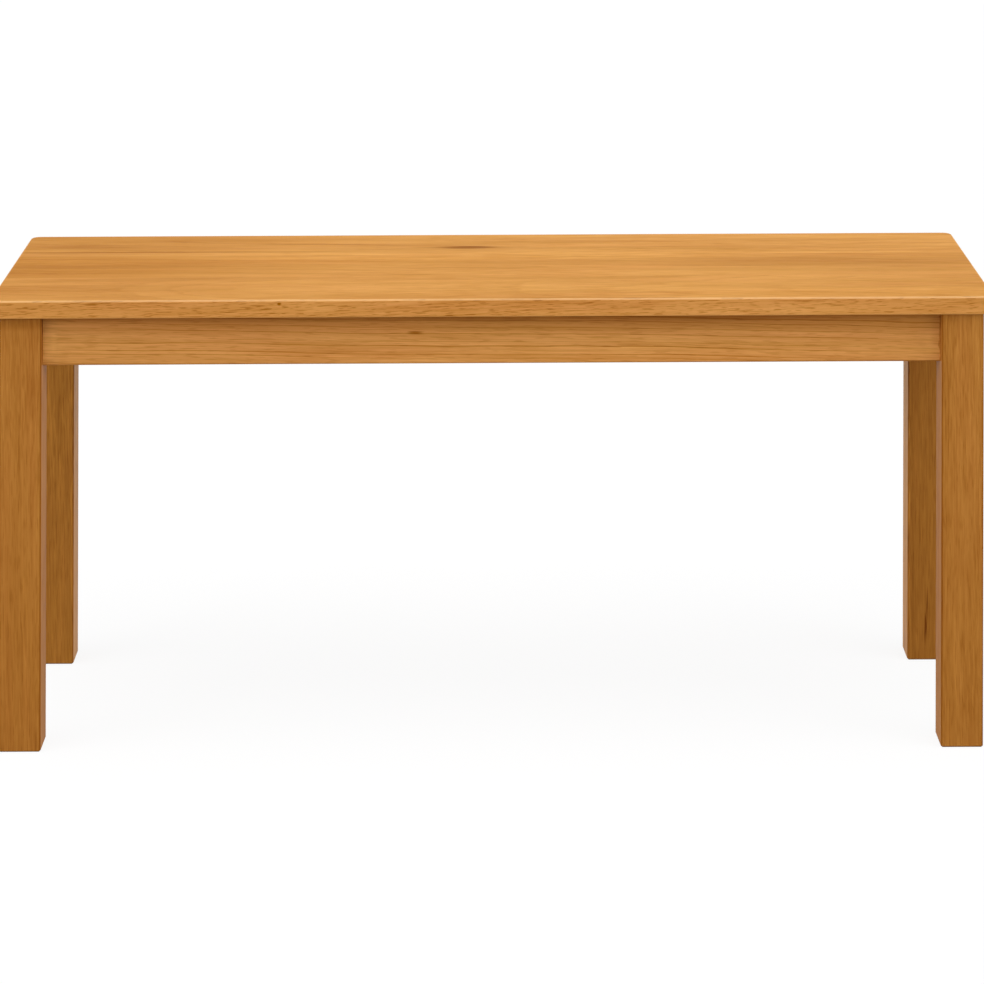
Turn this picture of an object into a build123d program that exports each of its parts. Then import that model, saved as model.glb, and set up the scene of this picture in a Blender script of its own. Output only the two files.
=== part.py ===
from build123d import *
import os

# A backless bench: four straight legs, a mortise-and-tenon apron frame and a seat of three glued boards.
# Millimetres. The origin is on the floor under the middle of the seat. +X runs along the bench to the
# right, -Y is the front and +Z is up.

# The seat
seat_length = 1000
seat_depth = 300
seat_height = 450
seat_thickness = 18
seat_corner_radius = 10
seat_top_rounding = 2.5
seat_under_chamfer = 1
board_count = 3

# The legs, and how far the seat stands out over them
leg_width = 42
leg_depth = 40
leg_rounding = 2
foot_chamfer = 1.5
end_overhang = 10
side_overhang = 5

# The aprons, set back from the outer faces of the legs
apron_height = 50
apron_thickness = 20
apron_setback = 10
apron_rounding = 1.5

# The haunched tenons, which meet in a mitre inside each leg
tenon_thickness = 8
tenon_shoulder = 6
haunch_height = 10
haunch_length = 8
mitre_clearance = 0.5

# The rail across the frame, under the middle of the seat
rail_height = 40
rail_thickness = 20
rail_chamfer = 1
stub_thickness = 8
stub_shoulder = 5
stub_depth = 5.5
stub_clearance = 0.5

# The blocks inside the frame's corners
block_height = 40
block_reach = 60
block_toe = 12
block_chamfer = 1
block_screw_reach = 46
block_screw_drop = 26
block_clamp = 16

# The groove in the aprons and the buttons that hook into it
groove_drop = 10
groove_height = 6
groove_depth = 5.5
button_width = 25
button_length = 34
button_chamfer = 1
tongue_length = 5
tongue_clearance = 0.5
button_face_gap = 0.5
button_draw_gap = 0.5
button_screw_reach = 19
long_button_count = 4
end_button_count = 1

# The biscuits in the seat's glue lines
biscuit_length = 56
biscuit_width = 23
biscuit_thickness = 4
biscuit_tip = 3
biscuit_clearance = 0.2
biscuit_count = 4

# The pan-head wood screws, drawn with a few flat sides because there are many of them
screw_side_count = 12
screw_radius = 2
screw_head_radius = 4
screw_head_height = 2.6
screw_head_chamfer = 1
screw_tip = 5
screw_point_radius = 0.3
screw_clearance = 0.05
button_screw_length = 25
block_screw_length = 30
rail_screw_length = 35
rail_clamp = 24
head_well_radius = 5
rail_screw_travel = 5

# How far a cut runs past the face that it leaves by
overrun = 1

# Places that follow from those sizes
leg_height = seat_height - seat_thickness
leg_x = seat_length / 2 - end_overhang - leg_width / 2
leg_y = seat_depth / 2 - side_overhang - leg_depth / 2
long_run = 2 * leg_x - leg_width
end_run = 2 * leg_y - leg_depth
frame_x = seat_length / 2 - end_overhang - apron_setback - apron_thickness / 2
frame_y = seat_depth / 2 - side_overhang - apron_setback - apron_thickness / 2
inner_x = frame_x - apron_thickness / 2
inner_y = frame_y - apron_thickness / 2
apron_bottom = leg_height - apron_height
tenon_bottom = apron_bottom + tenon_shoulder
haunch_bottom = leg_height - haunch_height
tenon_height = haunch_bottom - tenon_bottom
board_width = seat_depth / board_count
button_bottom = groove_drop + groove_height - tongue_clearance
stub_height = rail_height - 2 * stub_shoulder
up = Vector(0, 0, 1)

# Each side of the frame: the way it faces, how far out the middle of its apron lies, the clear run
# between its legs, and how far along it the middle of the next apron lies.
sides = {
    "front": (Vector(0, -1, 0), frame_y, long_run, frame_x),
    "back": (Vector(0, 1, 0), frame_y, long_run, frame_x),
    "left": (Vector(-1, 0, 0), frame_x, end_run, frame_y),
    "right": (Vector(1, 0, 0), frame_x, end_run, frame_y),
}


def upright_plane(side, inward=0):
    """A side's upright plane at the legs' top. Local x runs along the side, y is up and z points out."""
    outward, distance, _, _ = sides[side]
    return Plane(
        origin=outward * (distance - inward) + up * leg_height,
        x_dir=up.cross(outward),
        z_dir=outward,
    )


def level_plane(side, height):
    """A side's level plane at a height. Local x runs along the side and y points inward."""
    outward, distance, _, _ = sides[side]
    return Plane(origin=outward * distance + up * height, x_dir=up.cross(outward), z_dir=up)


def button_plane(side, along):
    """The plane across one button. Local x points inward from the apron and y is up from its top."""
    outward, distance, _, _ = sides[side]
    run_direction = up.cross(outward)
    origin = outward * (distance - apron_thickness / 2) + run_direction * along + up * leg_height
    return Plane(origin=origin, x_dir=outward * -1, z_dir=run_direction)


def spread(run, count):
    """The middles of a run's equal shares, measured from the middle of the run."""
    return [(place + 0.5) * run / count - run / 2 for place in range(count)]


def button_screw_place(side, along):
    """The seat of a button screw's head, under the button."""
    plane = button_plane(side, along)
    origin = plane.from_local_coords((button_screw_reach, -button_bottom, 0))
    return Plane(origin=origin, x_dir=plane.z_dir, z_dir=up * -1)


def block_screw_places(side):
    """The seats of the two block screws that go into one side's apron."""
    outward, _, _, meeting = sides[side]
    plane = upright_plane(side, inward=apron_thickness / 2 + block_clamp)
    along = meeting - apron_thickness / 2 - block_screw_reach
    return [
        Plane(
            origin=plane.from_local_coords((place, -block_screw_drop, 0)),
            x_dir=up,
            z_dir=outward * -1,
        )
        for place in (-along, along)
    ]


button_spots = {
    side: spread(run, long_button_count if side in ("front", "back") else end_button_count)
    for side, (_, _, run, _) in sides.items()
}
button_screw_spots = [
    button_screw_place(side, along) for side, places in button_spots.items() for along in places
]
block_screw_spots = [place for side in sides for place in block_screw_places(side)]
rail_screw_spots = [
    Plane(origin=(0, place, leg_height - rail_clamp), x_dir=(1, 0, 0), z_dir=(0, 0, -1))
    for place in spread(2 * inner_y, board_count)
]
seam_places = [place * board_width - seat_depth / 2 for place in range(1, board_count)]
biscuit_height = leg_height + (seat_thickness - biscuit_thickness) / 2


def save(piece, name):
    """Label a finished piece and write it."""
    piece.part.label = name
    export_step(piece.part, f"parts/{name}.step")


def save_four_corners(corner, name):
    """Write a front left piece and its mirror images at the other three corners."""
    save(corner, f"{name}_front_left")
    with BuildPart() as front_right:
        mirror(corner.part, about=Plane.YZ)
    save(front_right, f"{name}_front_right")
    for source, side in ((corner, "left"), (front_right, "right")):
        with BuildPart() as back:
            mirror(source.part, about=Plane.XZ)
        save(back, f"{name}_back_{side}")


def make_screw(length, clearance=0):
    """A pan-head screw, its head above the origin and its shank below, or its hole with a clearance."""
    with BuildPart() as screw:
        with BuildSketch():
            RegularPolygon(screw_head_radius + clearance, screw_side_count)
        extrude(amount=screw_head_height)
        chamfer(screw.edges().group_by(Axis.Z)[-1], screw_head_chamfer)
        with BuildSketch():
            RegularPolygon(screw_radius + clearance, screw_side_count)
        extrude(amount=-length - clearance)
        end = screw.faces().sort_by(Axis.Z)[0]
        chamfer(end.edges(), screw_radius - screw_point_radius, screw_tip, reference=end)
    return screw


def save_screws(name, screw, places):
    """Write a group of like screws, each a separate solid."""
    with BuildPart() as group:
        with Locations(*places):
            add(screw.part)
    save(group, name)


def make_biscuit(clearance=0):
    """A pressed beech biscuit, or with a clearance the slot that it lies in."""
    half_length = biscuit_length / 2 + clearance
    half_width = biscuit_width / 2 + clearance
    half_tip = biscuit_tip / 2 + clearance
    with BuildPart() as biscuit:
        with BuildSketch():
            with BuildLine():
                ThreePointArc((-half_length, half_tip), (0, half_width), (half_length, half_tip))
                Line((half_length, half_tip), (half_length, -half_tip))
                ThreePointArc((half_length, -half_tip), (0, -half_width), (-half_length, -half_tip))
                Line((-half_length, -half_tip), (-half_length, half_tip))
            make_face()
        extrude(amount=biscuit_thickness)
    return biscuit


def biscuit_places(seam):
    """The places of the biscuits along one glue line."""
    return [(along, seam, biscuit_height) for along in spread(seat_length, biscuit_count)]


def make_board(index, slot):
    """One board of the seat, cut out of the whole rounded seat, with its slots and screw holes."""
    middle = (index + 0.5) * board_width - seat_depth / 2
    with BuildPart() as board:
        with BuildSketch(Plane.XY.offset(leg_height)):
            RectangleRounded(seat_length, seat_depth, seat_corner_radius)
        extrude(amount=seat_thickness)
        fillet(board.edges().group_by(Axis.Z)[-1], seat_top_rounding)
        chamfer(board.edges().group_by(Axis.Z)[0], seat_under_chamfer)
        with Locations((0, middle, leg_height + seat_thickness / 2)):
            Box(seat_length, board_width, seat_thickness, mode=Mode.INTERSECT)
        for seam in seam_places:
            with Locations(*biscuit_places(seam)):
                add(slot.part, mode=Mode.SUBTRACT)
        with Locations(*button_screw_spots):
            add(button_screw_hole.part, mode=Mode.SUBTRACT)
        with Locations(*rail_screw_spots):
            add(rail_screw_hole.part, mode=Mode.SUBTRACT)
    return board


def make_leg():
    """The front left leg, with the mortises that meet inside it and a socket for each haunch."""
    mortise_x = frame_x + tenon_thickness / 2 - long_run / 2
    mortise_y = frame_y + tenon_thickness / 2 - end_run / 2
    with BuildPart() as leg:
        with BuildSketch():
            with Locations((-leg_x, -leg_y)):
                RectangleRounded(leg_width, leg_depth, leg_rounding)
        extrude(amount=leg_height)
        chamfer(leg.faces().sort_by(Axis.Z)[0].edges(), foot_chamfer)
        with BuildSketch(Plane.XY.offset(tenon_bottom)):
            with Locations((-long_run / 2, -frame_y)):
                Rectangle(mortise_x, tenon_thickness, align=(Align.MAX, Align.CENTER))
            with Locations((-frame_x, -end_run / 2)):
                Rectangle(tenon_thickness, mortise_y, align=(Align.CENTER, Align.MAX))
        extrude(amount=tenon_height, mode=Mode.SUBTRACT)
        with BuildSketch(Plane.XY.offset(haunch_bottom)):
            with Locations((-long_run / 2, -frame_y)):
                Rectangle(haunch_length, tenon_thickness, align=(Align.MAX, Align.CENTER))
            with Locations((-frame_x, -end_run / 2)):
                Rectangle(tenon_thickness, haunch_length, align=(Align.CENTER, Align.MAX))
        extrude(amount=haunch_height, mode=Mode.SUBTRACT)
    return leg


def make_apron(side):
    """One apron, with a mitred tenon and a haunch at each end and a button groove inside."""
    _, _, run, meeting = sides[side]
    inner_face = upright_plane(side, inward=apron_thickness / 2)
    tenon_span = 2 * (meeting + tenon_thickness / 2 - mitre_clearance)
    with BuildPart() as apron:
        with BuildSketch(upright_plane(side)):
            Rectangle(run, apron_height, align=(Align.CENTER, Align.MAX))
        extrude(amount=apron_thickness / 2, both=True)
        lower_edges = apron.edges().group_by(Axis.Z)[0].sort_by(SortBy.LENGTH)[-2:]
        fillet(lower_edges, apron_rounding)
        with BuildSketch(level_plane(side, tenon_bottom)):
            Trapezoid(tenon_span, tenon_thickness, 45)
        extrude(amount=tenon_height)
        with BuildSketch(level_plane(side, haunch_bottom)):
            Rectangle(run + 2 * haunch_length, tenon_thickness)
        extrude(amount=haunch_height)
        with BuildSketch(inner_face):
            with Locations((0, -groove_drop)):
                Rectangle(run, groove_height, align=(Align.CENTER, Align.MAX))
        extrude(amount=groove_depth, mode=Mode.SUBTRACT)
        if side in ("front", "back"):
            with BuildSketch(inner_face):
                with Locations((0, -stub_shoulder)):
                    Rectangle(stub_thickness, stub_height, align=(Align.CENTER, Align.MAX))
            extrude(amount=stub_depth, mode=Mode.SUBTRACT)
        with Locations(*block_screw_places(side)):
            add(block_screw_hole.part, mode=Mode.SUBTRACT)
    return apron


def make_rail():
    """The cross rail. Its outer screw holes are slots, which let the seat shrink and swell."""
    with BuildPart() as rail:
        with BuildSketch(Plane.XY.offset(leg_height - rail_height)):
            Rectangle(rail_thickness, 2 * inner_y)
        extrude(amount=rail_height)
        lower_edges = rail.edges().group_by(Axis.Z)[0].sort_by(SortBy.LENGTH)[-2:]
        chamfer(lower_edges, rail_chamfer)
        with BuildSketch(Plane.XY.offset(leg_height - stub_shoulder - stub_height)):
            Rectangle(stub_thickness, 2 * (inner_y + stub_depth - stub_clearance))
        extrude(amount=stub_height)
        for index, place in enumerate(rail_screw_spots):
            slotted = index != board_count // 2
            for radius, depth in (
                (screw_radius + screw_clearance, -rail_clamp - overrun),
                (head_well_radius, rail_height - rail_clamp + overrun),
            ):
                with BuildSketch(place):
                    if slotted:
                        SlotCenterToCenter(rail_screw_travel, 2 * radius, rotation=90)
                    else:
                        Circle(radius)
                extrude(amount=depth, mode=Mode.SUBTRACT)
    return rail


def make_block():
    """The front left corner block, notched round the leg, with a well for each screw's head."""
    with BuildPart() as block:
        with BuildSketch(Plane.XY.offset(leg_height - block_height)):
            with BuildLine():
                Polyline(
                    (-long_run / 2, -inner_y),
                    (block_reach - inner_x, -inner_y),
                    (block_reach - inner_x, block_toe - inner_y),
                    (block_toe - inner_x, block_reach - inner_y),
                    (-inner_x, block_reach - inner_y),
                    (-inner_x, -end_run / 2),
                    (-long_run / 2, -end_run / 2),
                    close=True,
                )
            make_face()
        extrude(amount=block_height)
        diagonal_edge = block.edges().group_by(Axis.Z)[0].sort_by(SortBy.LENGTH)[-1]
        chamfer(diagonal_edge, block_chamfer)
        with Locations(*block_screw_places("front"), *block_screw_places("left")):
            add(block_screw_hole.part, mode=Mode.SUBTRACT)
            Cylinder(
                head_well_radius,
                block_reach,
                align=(Align.CENTER, Align.CENTER, Align.MIN),
                mode=Mode.SUBTRACT,
            )
    return block


def make_button(side, along):
    """One button, its tongue up against the top of the apron's groove."""
    with BuildPart() as button:
        with BuildSketch(button_plane(side, along)):
            with BuildLine():
                Polyline(
                    (-tongue_length, -groove_drop),
                    (button_face_gap, -groove_drop),
                    (button_face_gap, -button_draw_gap),
                    (button_length, -button_draw_gap),
                    (button_length, -button_bottom),
                    (-tongue_length, -button_bottom),
                    close=True,
                )
            make_face()
        extrude(amount=button_width / 2, both=True)
        chamfer(button.edges().group_by(Axis.Z)[0], button_chamfer)
        with Locations(button_screw_place(side, along)):
            add(button_screw_hole.part, mode=Mode.SUBTRACT)
    return button


os.makedirs("parts", exist_ok=True)

button_screw_hole = make_screw(button_screw_length, screw_clearance)
block_screw_hole = make_screw(block_screw_length, screw_clearance)
rail_screw_hole = make_screw(rail_screw_length, screw_clearance)

biscuit = make_biscuit()
slot = make_biscuit(biscuit_clearance)
for index, place in enumerate(("front", "middle", "back")):
    save(make_board(index, slot), f"seat_board_{place}")
for seam, place in zip(seam_places, ("front", "back")):
    with BuildPart() as seam_biscuits:
        with Locations(*biscuit_places(seam)):
            add(biscuit.part)
    save(seam_biscuits, f"seat_biscuits_{place}")

save_four_corners(make_leg(), "leg")
for side in sides:
    save(make_apron(side), f"apron_{side}")
save(make_rail(), "cross_rail")
save_four_corners(make_block(), "corner_block")

for side, places in button_spots.items():
    for number, along in enumerate(places, start=1):
        save(make_button(side, along), f"seat_button_{side}_{number}")

save_screws("button_screws", make_screw(button_screw_length), button_screw_spots)
save_screws("corner_block_screws", make_screw(block_screw_length), block_screw_spots)
save_screws("cross_rail_screws", make_screw(rail_screw_length), rail_screw_spots)
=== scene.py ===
import math

import bmesh
import bpy
from mathutils import Matrix, Vector


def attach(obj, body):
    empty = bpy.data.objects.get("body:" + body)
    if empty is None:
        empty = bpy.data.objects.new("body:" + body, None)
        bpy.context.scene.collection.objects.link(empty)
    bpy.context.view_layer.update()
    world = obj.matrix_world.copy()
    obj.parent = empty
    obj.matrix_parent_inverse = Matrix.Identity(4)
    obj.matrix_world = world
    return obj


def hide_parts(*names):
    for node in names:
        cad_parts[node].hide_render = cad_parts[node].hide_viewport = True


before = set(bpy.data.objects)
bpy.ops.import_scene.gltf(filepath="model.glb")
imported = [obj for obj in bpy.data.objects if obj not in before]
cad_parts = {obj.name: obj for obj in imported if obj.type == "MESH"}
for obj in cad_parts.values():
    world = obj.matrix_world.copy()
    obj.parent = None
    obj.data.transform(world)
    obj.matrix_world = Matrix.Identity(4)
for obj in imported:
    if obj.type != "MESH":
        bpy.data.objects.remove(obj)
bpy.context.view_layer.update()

# The looks of a backless oak bench: its wood, round screws, a white floor, soft light and the
# photograph's camera. The wood and the screws are written in millimetres, and the rest in metres.

# The photograph, in pixels: its side, the row of the horizon above its top edge, and the focal length
# of a level camera that sees its parallel uprights
PHOTO_SIDE = 984
HORIZON_ROW = -437.8
FOCAL_LENGTH = 3150.4

# Where the camera stood, its small turn, and how far the picture's rows and uprights lean, in radians
EYE = Vector((-0.0079, -3.27937, 1.18163))
YAW = 0.00268
ROW_TILT = 0.00414
UPRIGHT_TILT = -0.00254

SENSOR_WIDTH = 36.0

# The light, as the brightness that it gives a white surface, how widely it spreads, and how it is turned
SKY_LEVEL = 0.34
SUN_LEVEL = 0.51
SUN_SPREAD = math.radians(50)
SUN_TILT = math.radians(12)
SUN_TURN = math.radians(-5)
SIDE_LEVEL = 0.62
SIDE_SPREAD = math.radians(50)
SIDE_TILT = math.radians(78)
SIDE_TURN = math.radians(65)

# The floor: how much of the light it gives back to the object, and what the camera sees of it
FLOOR_RETURN = 0.35
FLOOR_GLOW = 0.89
FLOOR_SHADOW_SHARE = 0.11
FLOOR_HALF_SIDE = 12.0

WHITE = (1.0, 1.0, 1.0, 1.0)

# Metres to a millimetre
MM = 0.001

LONG, ACROSS, UPRIGHT = "long", "across", "upright"

# The turns that bring a piece's grain to the X axis of its texture
GRAIN_TURNS = {
    LONG: (0.0, 0.0, 0.0),
    ACROSS: (0.0, 0.0, math.radians(-90)),
    UPRIGHT: (0.0, math.radians(90), 0.0),
}

# The world axis that each grain runs along
END_AXES = {LONG: 0, ACROSS: 1, UPRIGHT: 2}

# How far a seed of one moves the grain's noise along each axis, in metres
SEED_STEPS = (1.37, 0.71, 0.43)

# How dark plain wood is between its pale and its deep colour, and what a growth line adds on end grain
PLAIN_DEPTH = 0.38
END_LINE_DEPTH = 0.45

# How squarely a face looks along the grain where it begins to be end grain and where it fully is, the
# same for one that looks up or down, and for one that looks along no axis, as a rounded edge does
END_FACE = (0.90, 0.99)
LEVEL_FACE = (0.7, 0.95)
ROUNDED_FACE = (0.995, 0.93)

# How far a rounded edge looks up or down where it begins to be an upper or lower one and where it fully is
EDGE_SLOPE = (0.15, 0.45)

# The slow drift and the quick ripple of the growth rings: waves to a metre along and across the grain,
# and how rough they are
DRIFT_WAVES = ((1.8, 3.0, 3.0), 0.45)
RIPPLE_WAVES = ((13.0, 70.0, 70.0), 0.5)

# How much the years differ in width, how quickly that changes from year to year, and the share of a
# year in which its early growth sets in
YEAR_DIFFERENCE = 1.8
YEAR_CHANGE = 0.55
EARLY_ONSET = 0.06

# Where the early growth comes and goes: patches to a metre along and across the grain, and the noise at
# which it begins to show and shows fully
EARLY_PATCHES = (4.0, 40.0, 40.0)
EARLY_NOISE = (0.25, 0.58)

# The streaks' noise: its detail and how rough it is
STREAK_NOISE = (2.0, 0.55)

# The noise at which a pore begins and is full, how dark it is in plain wood, and how much darker in
# early growth
PORE_NOISE = (0.54, 0.66)
PORE_DARKNESS = 0.6
PORE_EARLY_DARKNESS = 0.5

# The streaks that lean to pink or olive: how many to a metre along and across the grain, and the noise at
# which each begins to lean and leans fully
BLUSH_STREAKS = (5.0, 75.0, 75.0)
PINK_NOISE = (0.48, 0.66)
OLIVE_NOISE = (0.50, 0.34)

# How far each growth ring ripples, and how far that ripple moves the outline of a mark along each axis
RING_RIPPLE = 2.6
MARK_RIPPLE = (7.0, 3.0, 3.0)

# How far the streaks fray a mark's outline, and the share of its size within which it has full strength
MARK_FRAYING = 0.9
MARK_CORE = 0.35

# What the wood's colour is multiplied by in a full dark mark, used for stains, pores and painted shade, in
# a full light one, used for paler tone and painted light, on level faces, which it makes a little darker
# and yellower, and in streaks that lean to pink and to olive
STAIN_AND_SHADE = (0.5, 0.34, 0.0, 1.0)
PALE_AND_LIGHT = (1.45, 1.56, 1.62, 1.0)
LEVEL_TINT = (0.95, 0.975, 0.83, 1.0)
PINK = (1.0, 0.92, 0.97, 1.0)
OLIVE = (0.98, 1.0, 0.88, 1.0)

# The painted highlight that rounded edges take where they face up, and the painted light where they face
# down
UPPER_HIGHLIGHT = (1.0, 0.82, 0.5, 1.0)
LOWER_EDGE_LIGHT = (1.0, 0.5, 0.14, 1.0)

# How much of the stain the end grain takes
END_STAIN = 0.22

# The relief of the pores and streaks: its strength, its height and how high the streaks are against
# the pores' depth
RELIEF_STRENGTH = 0.2
RELIEF_HEIGHT = 0.15
STREAK_HEIGHT = 0.35

# How blurred bare wood's shine is, and how much more so a full streak's
BARE_ROUGHNESS = 0.62
STREAK_ROUGHNESS = 0.12

# Zinc plating: how many spangles to a metre, how blurred its shine is, and how much more so on a spangle
ZINC_SPANGLES = 900.0
ZINC_ROUGHNESS = 0.22
SPANGLE_ROUGHNESS = 0.2

# A pan-head wood screw: pairs of radius and height from the head's top down to its seat, the sides that
# it is drawn with, its shank and pointed end, the sharpest bend that is shaded smooth, and how far each
# screw is turned on from the one before
SCREW_HEAD = ((1.9, 2.6), (2.9, 2.45), (3.6, 2.0), (3.95, 1.35), (4.0, 0.7), (4.0, 0.0))
SCREW_SIDES = 32
SHANK_RADIUS = 2.0
POINT_RADIUS = 0.3
POINT_LENGTH = 5.0
SMOOTH_BEND = math.radians(35)
SCREW_TURN = 0.7

# The cross in its head, cut by two tapered bars: the half-length and half-width of their tops and of
# their bottoms, how deep they go and how far they stand out
CROSS_TOP = (2.1, 0.48)
CROSS_BOTTOM = (0.945, 0.3)
CROSS_DEPTH = 1.5
CROSS_OVERRUN = 0.5

# Marks in the wood's colour, some of them painted light and shade, in the bench's own millimetres: a
# centre, three half-sizes and a strength, which is above zero for a darker mark and below zero for a paler
# one.

# The front board: a fleck in its edge, its darker left and right ends, and soft darker and paler patches
FRONT_BOARD_MARKS = (
    ((-212, -150, 445.5), (3.0, 6.0, 1.8), 1.0),
    ((-500, -100, 450), (330, 100, 30), 0.24),
    ((-500, -100, 450), (330, 100, 30), -0.08),
    ((-270, -55, 450), (120, 16, 6), 0.16),
    ((120, -76, 450), (130, 20, 6), 0.16),
    ((500, -100, 450), (330, 100, 30), 0.13),
    ((-430, -88, 450), (170, 7, 6), 0.12),
    ((380, -128, 450), (280, 26, 6), -0.2),
)

# The middle board: a darker stretch at the right, its darker ends, and soft darker and paler streaks
MIDDLE_BOARD_MARKS = (
    ((300, 14, 450), (450, 25, 6), 0.22),
    ((-500, 0, 450), (360, 100, 30), 0.57),
    ((-500, 0, 450), (360, 100, 30), -0.29),
    ((500, 0, 450), (330, 100, 30), 0.12),
    ((-440, -2, 450), (200, 10, 6), 0.2),
    ((-60, 40, 450), (560, 14, 6), -0.14),
    ((-190, 26, 450), (430, 20, 6), -0.12),
    ((340, -20, 450), (250, 42, 6), 0.18),
)

# The back board: its darker left end, a paler streak, a small knot in a darker patch, and growth lines
BACK_BOARD_MARKS = (
    ((-500, 110, 450), (360, 100, 30), 0.36),
    ((-500, 110, 450), (360, 100, 30), -0.1),
    ((0, 53, 450), (620, 9.0, 6), -0.14),
    ((-27, 85, 450), (36, 9.0, 6), 0.74),
    ((-30, 85, 450), (66, 8.0, 6), 0.36),
    ((-70, 84, 450), (150, 38.0, 6), 0.18),
    ((-350, 68, 450), (280, 4.2, 6), 0.55),
    ((-190, 103, 450), (90, 3.6, 6), 0.4),
    ((-430, 94, 450), (70, 14.0, 6), 0.22),
    ((300, 83, 450), (330, 7.0, 6), 0.14),
    ((80, 112, 450), (170, 7.0, 6), 0.12),
)

# The front apron: a fleck, painted shade close under the seat, deeper along its right part, darker and
# paler stretches, painted light on its ends beside the legs against their shadow, and painted shade in its
# corner with the right leg
FRONT_APRON_MARKS_AND_SHADING = (
    ((-77, -135, 413), (12.0, 3.0, 2.4), 0.8),
    ((0, -135, 430), (900, 14, 8), 0.5),
    ((0, -135, 420), (900, 14, 9), 0.16),
    ((300, -135, 423), (600, 14, 13), 0.17),
    ((420, -135, 411), (120, 14, 10), 0.1),
    ((-330, -135, 387), (140, 14, 10), 0.12),
    ((110, -135, 389), (400, 14, 10), -0.14),
    ((-442, -135, 404), (9, 14, 22), -0.35),
    ((-441, -135, 403), (20, 14, 26), -0.2),
    ((443, -135, 402), (14, 14, 24), -0.3),
    ((448, -135, 400), (1.8, 3.0, 38), 0.6),
    ((448, -135, 427), (2.0, 3.0, 12), 0.5),
)

# The front left leg: painted shade down its corner with the apron and on its top under the seat, and
# painted shade darkening its foot
FRONT_LEFT_LEG_SHADE = (
    ((-448, -138, 406), (3.4, 5.6, 32), 1.0),
    ((-448, -138, 424), (3.2, 6.0, 15), 0.9),
    ((-470, -145, 427), (60, 20, 10), 0.28),
    ((-470, -125, 0), (60, 60, 330), 0.26),
)

# The front right leg: fainter painted shade down its corner with the apron, and painted shade darkening its
# foot
FRONT_RIGHT_LEG_SHADE = (
    ((448, -136, 406), (1.5, 2.8, 32), 0.6),
    ((470, -125, 0), (60, 60, 330), 0.14),
)

# The back left leg: painted light on its top against the shadow of the seat, painted shade on its foot, and
# painted light on its inner face
BACK_LEFT_LEG_SHADING = (
    ((-470, 125, 380), (60, 60, 260), -0.33),
    ((-470, 125, 40), (60, 60, 260), 0.1),
    ((-448, 125, 200), (3, 60, 400), -0.75),
)

# The back right leg: a slanting crack near its foot and painted light on its inner face, and it is a little
# darker
BACK_RIGHT_LEG_MARKS_AND_LIGHT = (
    ((470.4, 105, 58), (1.4, 4.0, 22), 0.8),
    ((468.2, 105, 38), (2.0, 4.0, 18), 1.0),
    ((466.8, 105, 26), (1.5, 4.0, 12), 0.6),
    ((448, 125, 200), (3, 60, 400), -1.0),
    ((448, 125, 200), (3, 60, 400), -0.35),
    ((470, 125, 200), (60, 60, 500), 0.18),
)


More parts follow.
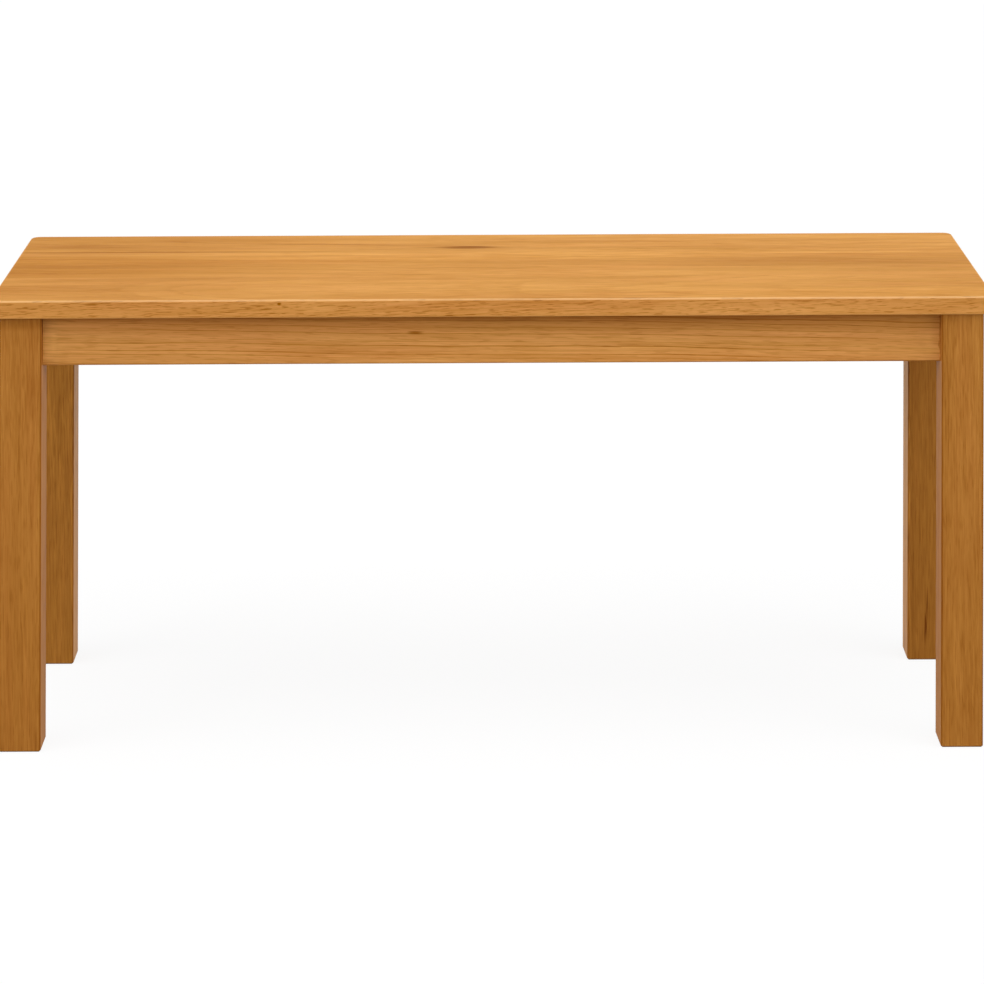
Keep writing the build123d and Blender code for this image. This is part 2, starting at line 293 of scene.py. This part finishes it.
class Graph:
    """The node tree of a material or of the world, with short calls for the nodes used here."""

    def __init__(self, owner, output):
        owner.use_nodes = True
        self.owner = owner
        self.nodes = owner.node_tree.nodes
        self.links = owner.node_tree.links
        self.nodes.clear()
        self.output = self.nodes.new(output)

    def node(self, kind, **settings):
        made = self.nodes.new(kind)
        for key, value in settings.items():
            setattr(made, key, value)
        return made

    def put(self, socket, value):
        """Set a socket to a number, a colour or a vector, or link it to another socket."""
        if isinstance(value, bpy.types.NodeSocket):
            self.links.new(value, socket)
        elif value is not None:
            socket.default_value = value

    def math(self, operation, first, second=None, third=None, clamp=False):
        made = self.node("ShaderNodeMath", operation=operation, use_clamp=clamp)
        for socket, value in zip(made.inputs, (first, second, third)):
            self.put(socket, value)
        return made.outputs[0]

    def product(self, *factors):
        """All the factors multiplied together."""
        result = factors[0]
        for factor in factors[1:]:
            result = self.math("MULTIPLY", result, factor)
        return result

    def vector(self, operation, first, second=None):
        made = self.node("ShaderNodeVectorMath", operation=operation)
        self.put(made.inputs[0], first)
        self.put(made.inputs[1], second)
        return made.outputs["Value" if operation == "LENGTH" else "Vector"]

    def split(self, vector):
        """The three parts of a vector."""
        made = self.node("ShaderNodeSeparateXYZ")
        self.put(made.inputs["Vector"], vector)
        return list(made.outputs)

    def noise(self, vector, stretch, detail=1.0, roughness=0.5, colour=False):
        """Smooth noise over a vector that is first stretched, for grain that runs along X."""
        made = self.node("ShaderNodeTexNoise", noise_dimensions="3D")
        made.inputs["Scale"].default_value = 1.0
        made.inputs["Detail"].default_value = detail
        made.inputs["Roughness"].default_value = roughness
        self.put(made.inputs["Vector"], self.vector("MULTIPLY", vector, stretch))
        return made.outputs["Color" if colour else "Fac"]

    def shift(self, vector, stretch, roughness):
        """A smooth random vector, each part of it between about -0.5 and 0.5."""
        noise = self.noise(vector, stretch, 2.0, roughness, colour=True)
        return self.vector("SUBTRACT", noise, (0.5, 0.5, 0.5))

    def band(self, value, low, high):
        """0 below low, 1 above high and smooth between them; high may be the lower of the two."""
        made = self.node("ShaderNodeMapRange", interpolation_type="SMOOTHSTEP", clamp=True)
        reverse = high < low
        self.put(made.inputs["Value"], value)
        made.inputs["From Min"].default_value = min(low, high)
        made.inputs["From Max"].default_value = max(low, high)
        made.inputs["To Min"].default_value = 1.0 if reverse else 0.0
        made.inputs["To Max"].default_value = 0.0 if reverse else 1.0
        return made.outputs["Result"]

    def mix(self, share, first, second, blend="MIX"):
        """One colour over another."""
        made = self.node("ShaderNodeMix", data_type="RGBA", blend_type=blend)
        factor, under, over = (made.inputs[index] for index in (0, 6, 7))
        self.put(factor, share)
        self.put(under, first)
        self.put(over, second)
        return made.outputs[2]

    def shader(self, kind, **inputs):
        made = self.node(kind)
        for key, value in inputs.items():
            self.put(made.inputs[key], value)
        return made.outputs[0]

    def blend(self, share, first, second):
        """One shader in place of another by a share."""
        made = self.node("ShaderNodeMixShader")
        for socket, value in zip(made.inputs, (share, first, second)):
            self.put(socket, value)
        return made.outputs[0]

    def seen(self):
        """1 for what the camera sees, also in mirrors or through glass, and 0 for what lights the bench."""
        path = self.node("ShaderNodeLightPath")
        direct = self.math("MAXIMUM", path.outputs["Is Camera Ray"], path.outputs["Is Glossy Ray"])
        return self.math("MAXIMUM", direct, path.outputs["Is Transmission Ray"])

    def finish(self, shader):
        self.links.new(shader, self.output.inputs["Surface"])
        return self.owner


def material_graph(name):
    return Graph(bpy.data.materials.new(name), "ShaderNodeOutputMaterial")


def rgb(red, green, blue):
    """A colour as an image editor shows it, 0 to 255, turned into light."""
    def light(value):
        share = value / 255
        return share / 12.92 if share <= 0.04045 else ((share + 0.055) / 1.055) ** 2.4
    return (light(red), light(green), light(blue), 1.0)


def lean_grain(g, place, grain, lean):
    """A place's coordinates with X along the grain, which leans a little against the piece."""
    turn = g.node("ShaderNodeMapping", vector_type="POINT")
    turn.inputs["Rotation"].default_value = GRAIN_TURNS[grain]
    g.put(turn.inputs["Vector"], place)
    along, side, up = g.split(turn.outputs["Vector"])
    grained = g.node("ShaderNodeCombineXYZ")
    g.put(grained.inputs["X"], along)
    g.put(grained.inputs["Y"], g.math("MULTIPLY_ADD", along, -lean[0], side))
    g.put(grained.inputs["Z"], g.math("MULTIPLY_ADD", along, -lean[1], up))
    return grained.outputs["Vector"]


def early_growth(g, grained, wood, ripple, pith, ring, line_share, wander):
    """The dark porous growth that starts each year: 1 in the middle of it and 0 outside."""
    drift = g.shift(wood, *DRIFT_WAVES)
    offset = g.vector("SUBTRACT", grained, (0.0, pith[0] * MM, pith[1] * MM))
    for sway, reach in ((drift, wander), (ripple, RING_RIPPLE)):
        offset = g.vector("ADD", offset, g.vector("MULTIPLY", sway, (0.0, reach * MM, reach * MM)))
    radius = g.vector("LENGTH", g.vector("MULTIPLY", offset, (0.0, 1.0, 1.0)))
    years = g.math("DIVIDE", radius, ring * MM)

    # Some years are wide and some narrow
    uneven = g.node("ShaderNodeTexNoise", noise_dimensions="1D")
    uneven.inputs["Scale"].default_value = YEAR_CHANGE
    uneven.inputs["Detail"].default_value = 1.0
    g.put(uneven.inputs["W"], years)
    season = g.math("FRACT", g.math("MULTIPLY_ADD", uneven.outputs["Fac"], YEAR_DIFFERENCE, years))

    # It starts sharply and ends softly, and comes and goes along the grain
    early = g.product(g.band(season, line_share, 0.0), g.band(season, 0.0, EARLY_ONSET))
    return g.product(early, g.band(g.noise(wood, EARLY_PATCHES), *EARLY_NOISE))


def add_marks_and_shading(g, colour, place, ripple, streaks, marks):
    """The colour with its darker and paler marks, some of them painted light and shade, whose outlines
    ripple and fray with the grain.
    """
    sway = g.vector("MULTIPLY", ripple, tuple(value * MM for value in MARK_RIPPLE))
    loose = g.vector("ADD", place, sway)
    fraying = g.math("SUBTRACT", streaks, 0.5)
    for centre, half_sizes, strength in marks:
        spot = g.vector("SUBTRACT", loose, tuple(value * MM for value in centre))
        spot = g.vector("MULTIPLY", spot, tuple(1 / (value * MM) for value in half_sizes))
        reach = g.math("MULTIPLY_ADD", fraying, MARK_FRAYING, g.vector("LENGTH", spot))
        share = g.product(g.band(reach, 1.0, MARK_CORE), abs(strength))
        colour = g.mix(share, colour, STAIN_AND_SHADE if strength > 0 else PALE_AND_LIGHT, "MULTIPLY")
    return colour


def paint_edge_shading(g, colour, up, flat, pale, edge_shading):
    """The colour with painted light and painted shade on its rounded edges, by whether they face up, level
    or down.
    """
    rounded = g.band(g.math("MAXIMUM", flat[0], g.math("MAXIMUM", flat[1], flat[2])), *ROUNDED_FACE)
    upward = g.band(up, *EDGE_SLOPE)
    downward = g.band(up, *(-slope for slope in EDGE_SLOPE))
    level = g.math("SUBTRACT", 1.0, g.math("ADD", upward, downward))
    for facing, change, edge in zip((upward, level, downward), edge_shading, (UPPER_HIGHLIGHT, pale, LOWER_EDGE_LIGHT)):
        if not change:
            continue
        share = g.product(rounded, facing, abs(change))
        if change < 0:
            colour = g.mix(share, colour, STAIN_AND_SHADE, "MULTIPLY")
        else:
            colour = g.mix(share, colour, edge)
    return colour


def oak(name, grain, pith, lean, pale, deep, seed, ring=6.0, line=(0.2, 0.4), wander=30.0,
        fibre=(0.5, 9, 430), strand=(0.45, 3.4, 105), tone=(0.4, 1, 16), pores=(0.4, 52, 560),
        filled=0.0, blush=0.0, marks=(), edge_shading=(0.0, 0.0, 0.0), gloss=0.03, roughness=0.40):
    """Solid oak: growth rings round a pith line, long fibres and open pores, all running with the grain.

    Lengths are in millimetres. pith is where the pith line passes the bench's middle, sideways and up,
    once the grain is turned to run along X. lean is how far the grain drifts that way for each
    millimetre along, ring is a year's growth and wander is how far the rings stray. pale and deep are
    the two ends of the wood's colours, and a seed gives each piece grain of its own. line is how dark a
    growth line is and its share of the year. fibre, strand and tone are the fine streaks, the wide ones
    and the broad changes of tone, and pores the short dark dashes: how strong each is and how many
    there are to a metre, along and across. filled is how far the finish closes the pores of level
    faces, and above zero it also deepens their colour. blush is how far some streaks lean to pink and
    others to olive. marks are darker and paler spots, some of them painted light and shade, as described
    above. edge_shading says how far the upward, the level and the downward rounded edges are paled by
    painted light or, below zero, darkened by painted shade. gloss is how much the surface mirrors, and
    roughness how blurred that is.
    """
    g = material_graph(name)
    coordinates = g.node("ShaderNodeTexCoord")
    place = coordinates.outputs["Object"]
    facing = g.split(coordinates.outputs["Normal"])
    flat = [g.math("ABSOLUTE", part) for part in facing]
    grained = lean_grain(g, place, grain, lean)
    wood = g.vector("ADD", grained, tuple(seed * step for step in SEED_STEPS))
    ripple = g.shift(wood, *RIPPLE_WAVES)
    early = early_growth(g, grained, wood, ripple, pith, ring, line[1], wander)

    # How deep the colour is: the growth lines and the streaks
    end_face = g.band(flat[END_AXES[grain]], *END_FACE)
    line_depth = g.math("MULTIPLY_ADD", end_face, END_LINE_DEPTH, line[0])
    depth = g.math("MULTIPLY_ADD", early, line_depth, PLAIN_DEPTH)
    for strength, along, across in (strand, tone, fibre):
        streaks = g.noise(wood, (along, across, across), *STREAK_NOISE)
        depth = g.math("MULTIPLY_ADD", g.math("SUBTRACT", streaks, 0.5), 2 * strength, depth)

    # The fibres come last, because the marks, the relief and the roughness use their streaks too
    fine_streaks = streaks
    colour = g.mix(g.math("ADD", depth, 0.0, clamp=True), pale, deep)

    # The pores, which are darker in the early growth
    dash = g.noise(wood, (pores[1], pores[2], pores[2]))
    darkness = g.math("MULTIPLY_ADD", early, PORE_EARLY_DARKNESS, PORE_DARKNESS)
    pore = g.product(g.band(dash, *PORE_NOISE), darkness)
    level_face = g.band(flat[2], *LEVEL_FACE)
    still_open = g.math("MULTIPLY_ADD", level_face, -filled, 1.0)
    colour = g.mix(g.product(pore, still_open, pores[0]), colour, STAIN_AND_SHADE, "MULTIPLY")
    if filled:
        colour = g.mix(level_face, colour, LEVEL_TINT, "MULTIPLY")

    warmth = g.noise(wood, BLUSH_STREAKS, 2.0)
    colour = g.mix(g.product(g.band(warmth, *PINK_NOISE), blush), colour, PINK, "MULTIPLY")
    colour = g.mix(g.product(g.band(warmth, *OLIVE_NOISE), blush), colour, OLIVE, "MULTIPLY")

    # Marks, some of them painted light and shade, then painted light and shade on the rounded edges
    colour = add_marks_and_shading(g, colour, place, ripple, fine_streaks, marks)
    colour = paint_edge_shading(g, colour, facing[2], flat, pale, edge_shading)
    colour = g.mix(g.product(end_face, END_STAIN), colour, STAIN_AND_SHADE, "MULTIPLY")

    relief = g.math("MULTIPLY_ADD", pore, -1.0, g.product(fine_streaks, STREAK_HEIGHT))
    bump = g.node("ShaderNodeBump")
    bump.inputs["Strength"].default_value = RELIEF_STRENGTH
    bump.inputs["Distance"].default_value = RELIEF_HEIGHT * MM
    g.put(bump.inputs["Height"], relief)
    shader = g.node("ShaderNodeBsdfPrincipled")
    g.put(shader.inputs["Base Color"], colour)
    g.put(shader.inputs["Roughness"], g.math("MULTIPLY_ADD", fine_streaks, STREAK_ROUGHNESS, roughness))
    shader.inputs["Specular IOR Level"].default_value = gloss
    g.put(shader.inputs["Normal"], bump.outputs["Normal"])
    return g.finish(shader.outputs["BSDF"])


def zinc():
    """Bright zinc-plated steel with faint mottling."""
    g = material_graph("zinc_steel")
    place = g.node("ShaderNodeTexCoord").outputs["Object"]
    spangle = g.noise(place, (ZINC_SPANGLES,) * 3, 2.0)
    shader = g.node("ShaderNodeBsdfPrincipled")
    shader.inputs["Metallic"].default_value = 1.0
    g.put(shader.inputs["Base Color"], g.mix(spangle, rgb(150, 150, 152), rgb(205, 205, 200)))
    g.put(shader.inputs["Roughness"], g.math("MULTIPLY_ADD", spangle, SPANGLE_ROUGHNESS, ZINC_ROUGHNESS))
    return g.finish(shader.outputs["BSDF"])


def dress(node, material):
    """Put a material on a CAD node in place of the one it came with."""
    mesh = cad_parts[node]
    if not mesh.material_slots:
        mesh.data.materials.append(material)
    for slot in mesh.material_slots:
        slot.material = material


def dress_seat():
    """Three boards of one oak, each with grain and marks of its own."""
    boards = {
        "front": dict(
            pith=(-90.0, 180.0), lean=(0.012, 0.03), seed=3.1, pores=(0.8, 80, 1050), filled=0.75,
            marks=FRONT_BOARD_MARKS,
        ),
        "middle": dict(
            pith=(110.0, 230.0), lean=(-0.006, 0.018), seed=8.6, filled=0.5,
            marks=MIDDLE_BOARD_MARKS,
        ),
        "back": dict(
            pith=(190.0, 120.0), lean=(0.005, 0.02), seed=14.3, filled=0.5,
            marks=BACK_BOARD_MARKS,
        ),
    }
    for board, facts in boards.items():
        # The upper rounded edges get a painted highlight and the lower ones painted light
        material = oak(
            f"seat_{board}_oak", LONG, pale=rgb(228, 164, 93), deep=rgb(186, 119, 46),
            fibre=(0.5, 22, 520), strand=(0.33, 5, 60), tone=(0.45, 1.6, 20), blush=0.3,
            edge_shading=(0.2, 0.0, 0.5), gloss=0.012, **facts,
        )
        dress(f"seat_board_{board}", material)


def dress_aprons():
    """Straight-grained oak with fine dark growth lines."""
    aprons = {
        "front": (LONG, dict(pith=(-90.0, 190.0), lean=(0.002, -0.02), seed=21.7, marks=FRONT_APRON_MARKS_AND_SHADING)),
        "back": (LONG, dict(pith=(90.0, 210.0), lean=(0.004, 0.012), seed=25.2)),
        "left": (ACROSS, dict(pith=(-430.0, 220.0), lean=(0.003, 0.016), seed=31.4)),
        "right": (ACROSS, dict(pith=(430.0, 220.0), lean=(0.002, -0.012), seed=37.9)),
    }
    for side, (grain, facts) in aprons.items():
        # Their level and lower rounded edges are darkened with painted shade
        material = oak(
            f"apron_{side}_oak", grain, pale=rgb(224, 160, 90), deep=rgb(182, 116, 44), ring=6.2,
            line=(1.4, 0.2), wander=14.0, fibre=(0.42, 18, 520), strand=(0.36, 4, 240),
            tone=(0.35, 1.5, 30), pores=(0.42, 50, 800), blush=0.4, edge_shading=(0.0, -0.34, -0.34),
            gloss=0.04, **facts,
        )
        dress(f"apron_{side}", material)


def dress_legs():
    """Upright oak, glossier at the back, and darker there with painted shade."""
    front = dict(pale=rgb(195, 133, 62), deep=rgb(146, 84, 22), gloss=0.02)
    # The back legs' darker colours are painted shade
    back = dict(pale=rgb(190, 127, 52), deep=rgb(134, 79, 18), gloss=0.11)
    legs = {
        "front_left": dict(pith=(-120.0, -620.0), seed=43.3, marks=FRONT_LEFT_LEG_SHADE, **front),
        "front_right": dict(pith=(150.0, 700.0), seed=47.8, marks=FRONT_RIGHT_LEG_SHADE, **front),
        "back_left": dict(pith=(160.0, -560.0), seed=52.6, marks=BACK_LEFT_LEG_SHADING, **back),
        "back_right": dict(pith=(-110.0, 640.0), seed=58.1, marks=BACK_RIGHT_LEG_MARKS_AND_LIGHT, **back),
    }
    for corner, facts in legs.items():
        # Their level and lower rounded edges are darkened with painted shade
        material = oak(
            f"leg_{corner}_oak", UPRIGHT, lean=(0.008, 0.010), ring=3.5, line=(0.15, 0.4),
            fibre=(0.5, 30, 560), strand=(0.22, 8, 150), tone=(0.3, 2.5, 22), pores=(0.38, 50, 800),
            blush=0.25, edge_shading=(0.0, -0.65, -0.4), **facts,
        )
        dress(f"leg_{corner}", material)


def dress_hidden_wood():
    """Bare oak for the cross rail and the corner blocks, and bare beech for the buttons and biscuits."""
    bare_oak = oak(
        "bare_oak", ACROSS, pith=(60.0, 500.0), lean=(0.01, 0.01), pale=rgb(200, 158, 106),
        deep=rgb(150, 106, 62), seed=64.0, roughness=BARE_ROUGHNESS,
    )
    beech = oak(
        "beech", LONG, pith=(40.0, 330.0), lean=(0.01, 0.01), pale=rgb(210, 166, 120),
        deep=rgb(172, 124, 82), seed=71.0, ring=3.0, line=(0.05, 0.4), pores=(0.14, 52, 560),
        roughness=BARE_ROUGHNESS,
    )
    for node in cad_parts:
        if node.startswith(("seat_button", "seat_biscuits")):
            dress(node, beech)
        elif node == "cross_rail" or node.startswith("corner_block"):
            dress(node, bare_oak)


def cut(form, tool):
    """What is left of one closed form when another is taken out of it."""
    objects = []
    for name, shape in (("cut_form", form), ("cut_tool", tool)):
        bmesh.ops.recalc_face_normals(shape, faces=shape.faces)
        mesh = bpy.data.meshes.new(name)
        shape.to_mesh(mesh)
        shape.free()
        made = bpy.data.objects.new(name, mesh)
        bpy.context.scene.collection.objects.link(made)
        objects.append(made)
    whole, taken = objects
    boolean = whole.modifiers.new("cut", "BOOLEAN")
    boolean.operation = "DIFFERENCE"
    boolean.solver = "EXACT"
    boolean.object = taken
    result = bmesh.new()
    result.from_object(whole, bpy.context.evaluated_depsgraph_get())
    for made in objects:
        mesh = made.data
        bpy.data.objects.remove(made)
        bpy.data.meshes.remove(mesh)
    return result


def cross_bar(turn):
    """One of the two tapered bars that cut the cross, turned about the screw's axis."""
    top = SCREW_HEAD[0][1]
    bar = bmesh.new()
    corners = []
    for (x, y), z in ((CROSS_BOTTOM, top - CROSS_DEPTH), (CROSS_TOP, top + CROSS_OVERRUN)):
        for side_x, side_y in ((1, 1), (-1, 1), (-1, -1), (1, -1)):
            corners.append(bar.verts.new((x * side_x, y * side_y, z)))
    bar.faces.new(corners[:4][::-1])
    bar.faces.new(corners[4:])
    for index in range(4):
        after = (index + 1) % 4
        bar.faces.new((corners[index], corners[after], corners[after + 4], corners[index + 4]))
    bar.transform(Matrix.Rotation(turn, 4, "Z"))
    return bar


def screw_form(length):
    """A screw with its head's seat at the origin, its shank down Z and a cross sunk in its head."""
    shank = ((SHANK_RADIUS, 0.0), (SHANK_RADIUS, POINT_LENGTH - length), (POINT_RADIUS, -length))
    form = bmesh.new()
    rings = []
    for radius, height in SCREW_HEAD + shank:
        ring = []
        for index in range(SCREW_SIDES):
            angle = 2 * math.pi * index / SCREW_SIDES
            ring.append(form.verts.new((radius * math.cos(angle), radius * math.sin(angle), height)))
        rings.append(ring)
    form.faces.new(rings[0])
    form.faces.new(rings[-1][::-1])
    for upper, lower in zip(rings, rings[1:]):
        for index in range(SCREW_SIDES):
            after = (index + 1) % SCREW_SIDES
            form.faces.new((upper[index], lower[index], lower[after], upper[after]))
    for turn in (0.0, math.pi / 2):
        form = cut(form, cross_bar(turn))
    form.transform(Matrix.Scale(MM, 4))
    return form


def solids_of(mesh):
    """The points of each separate solid in a mesh."""
    whole = bmesh.new()
    whole.from_mesh(mesh)
    bmesh.ops.remove_doubles(whole, verts=whole.verts, dist=0.001 * MM)
    left = set(whole.verts)
    solids = []
    for start in whole.verts:
        if start not in left:
            continue
        left.discard(start)
        points = [start.co.copy()]
        ahead = [start]
        while ahead:
            for edge in ahead.pop().link_edges:
                for vertex in edge.verts:
                    if vertex in left:
                        left.discard(vertex)
                        ahead.append(vertex)
                        points.append(vertex.co.copy())
        solids.append(points)
    whole.free()
    return solids


def screw_places(node):
    """Where each screw of a CAD node stands, as a matrix from its head's seat, and the screws' length."""
    places = []
    head_height = SCREW_HEAD[0][1] * MM
    for points in solids_of(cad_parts[node].data):
        low = Vector(min(point[k] for point in points) for k in range(3))
        high = Vector(max(point[k] for point in points) for k in range(3))
        middle = (low + high) / 2
        axis = max(range(3), key=lambda k: high[k] - low[k])
        wide = max(points, key=lambda point: max(abs(point[k] - middle[k]) for k in range(3) if k != axis))
        up = Vector((0, 0, 0))
        up[axis] = 1.0 if wide[axis] > middle[axis] else -1.0
        length = high[axis] - low[axis] - head_height
        seat = middle + up * ((high[axis] - low[axis]) / 2 - head_height)
        places.append(Matrix.Translation(seat) @ up.to_track_quat("Z", "Y").to_matrix().to_4x4())
    return places, length


def make_screws(node, piece, material):
    """Round screws with a cross in the head, in place of a CAD node's plain ones."""
    places, length = screw_places(node)
    form = screw_form(length / MM)
    pattern = bpy.data.meshes.new("screw_pattern")
    form.to_mesh(pattern)
    form.free()
    every = bmesh.new()
    for index, place in enumerate(places):
        turned = pattern.copy()
        turned.transform(place @ Matrix.Rotation(index * SCREW_TURN, 4, "Z"))
        every.from_mesh(turned)
        bpy.data.meshes.remove(turned)
    bpy.data.meshes.remove(pattern)
    mesh = bpy.data.meshes.new(piece)
    every.to_mesh(mesh)
    every.free()
    mesh.materials.append(material)
    mesh.shade_smooth()
    mesh.set_sharp_from_angle(angle=SMOOTH_BEND)
    made = bpy.data.objects.new(piece, mesh)
    bpy.context.scene.collection.objects.link(made)
    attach(made, "root")
    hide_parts(node)


def make_all_screws():
    steel = zinc()
    for node in ("button_screws", "corner_block_screws", "cross_rail_screws"):
        make_screws(node, f"round_{node}", steel)


def make_floor():
    """A plain pale floor, white to the camera but for the object's shadow."""
    side = FLOOR_HALF_SIDE
    mesh = bpy.data.meshes.new("floor")
    corners = [(-side, -side, 0), (side, -side, 0), (side, side, 0), (-side, side, 0)]
    mesh.from_pydata(corners, [], [(0, 1, 2, 3)])
    floor = bpy.data.objects.new("floor", mesh)
    bpy.context.scene.collection.objects.link(floor)
    g = material_graph("floor_white")
    shadow = g.shader("ShaderNodeBsdfDiffuse", Color=(FLOOR_SHADOW_SHARE,) * 3 + (1.0,))
    glow = g.shader("ShaderNodeEmission", Color=WHITE, Strength=FLOOR_GLOW)
    shown = g.node("ShaderNodeAddShader")
    g.put(shown.inputs[0], shadow)
    g.put(shown.inputs[1], glow)
    lit = g.shader("ShaderNodeBsdfDiffuse", Color=(FLOOR_RETURN,) * 3 + (1.0,))
    mesh.materials.append(g.finish(g.blend(g.seen(), lit, shown.outputs["Shader"])))


def make_world():
    """An even sky that lights softly and looks white."""
    world = bpy.data.worlds.new("studio")
    bpy.context.scene.world = world
    g = Graph(world, "ShaderNodeOutputWorld")
    sky = g.shader("ShaderNodeBackground", Color=WHITE, Strength=SKY_LEVEL)
    white = g.shader("ShaderNodeBackground", Color=WHITE, Strength=1.0)
    g.finish(g.blend(g.seen(), sky, white))


def make_lamp(name, level, spread, turn):
    """A far soft lamp. The level is the brightness that it gives a white surface that faces it."""
    data = bpy.data.lights.new(name, "SUN")
    data.energy = level * math.pi
    data.angle = spread
    lamp = bpy.data.objects.new(name, data)
    lamp.rotation_euler = turn
    bpy.context.scene.collection.objects.link(lamp)


def make_lamps():
    """A broad soft lamp above, towards the front, and one low in front at each side."""
    make_lamp("sun", SUN_LEVEL, SUN_SPREAD, (SUN_TILT, 0.0, SUN_TURN))
    make_lamp("side_left", SIDE_LEVEL, SIDE_SPREAD, (SIDE_TILT, 0.0, -SIDE_TURN))
    make_lamp("side_right", SIDE_LEVEL, SIDE_SPREAD, (SIDE_TILT, 0.0, SIDE_TURN))


def make_camera():
    """The photograph's camera. It looks down, but its picture's upright is kept along the world's.

    A turned camera can't do that, so the matrix that sets it on its stand is sheared: its columns are
    the picture's right, the picture's up and the way back along the line of sight.
    """
    pitch = math.atan((PHOTO_SIDE / 2 - HORIZON_ROW) / FOCAL_LENGTH)
    data = bpy.data.cameras.new("camera")
    data.sensor_width = SENSOR_WIDTH
    data.lens = FOCAL_LENGTH / math.cos(pitch) * SENSOR_WIDTH / PHOTO_SIDE
    right = Vector((math.cos(YAW), -math.sin(YAW), 0))
    ahead = Vector((math.sin(YAW), math.cos(YAW), 0))
    up = Vector((0, 0, 1))
    view = ahead * math.cos(pitch) - up * math.sin(pitch)
    across = right * math.cos(ROW_TILT) - up * math.sin(ROW_TILT)
    upward = up * math.cos(UPRIGHT_TILT) + right * math.sin(UPRIGHT_TILT)
    stand = bpy.data.objects.new("camera_stand", None)
    camera = bpy.data.objects.new("camera", data)
    for made in (stand, camera):
        bpy.context.scene.collection.objects.link(made)
    camera.parent = stand
    columns = (across, upward, -view)
    sheared = Matrix([[column[row] for column in columns] for row in range(3)]).to_4x4()
    camera.matrix_parent_inverse = Matrix.Translation(EYE) @ sheared
    bpy.context.scene.camera = camera


dress_seat()
dress_aprons()
dress_legs()
dress_hidden_wood()
make_all_screws()
make_floor()
make_world()
make_lamps()
make_camera()
bpy.context.scene.view_settings.view_transform = "Standard"
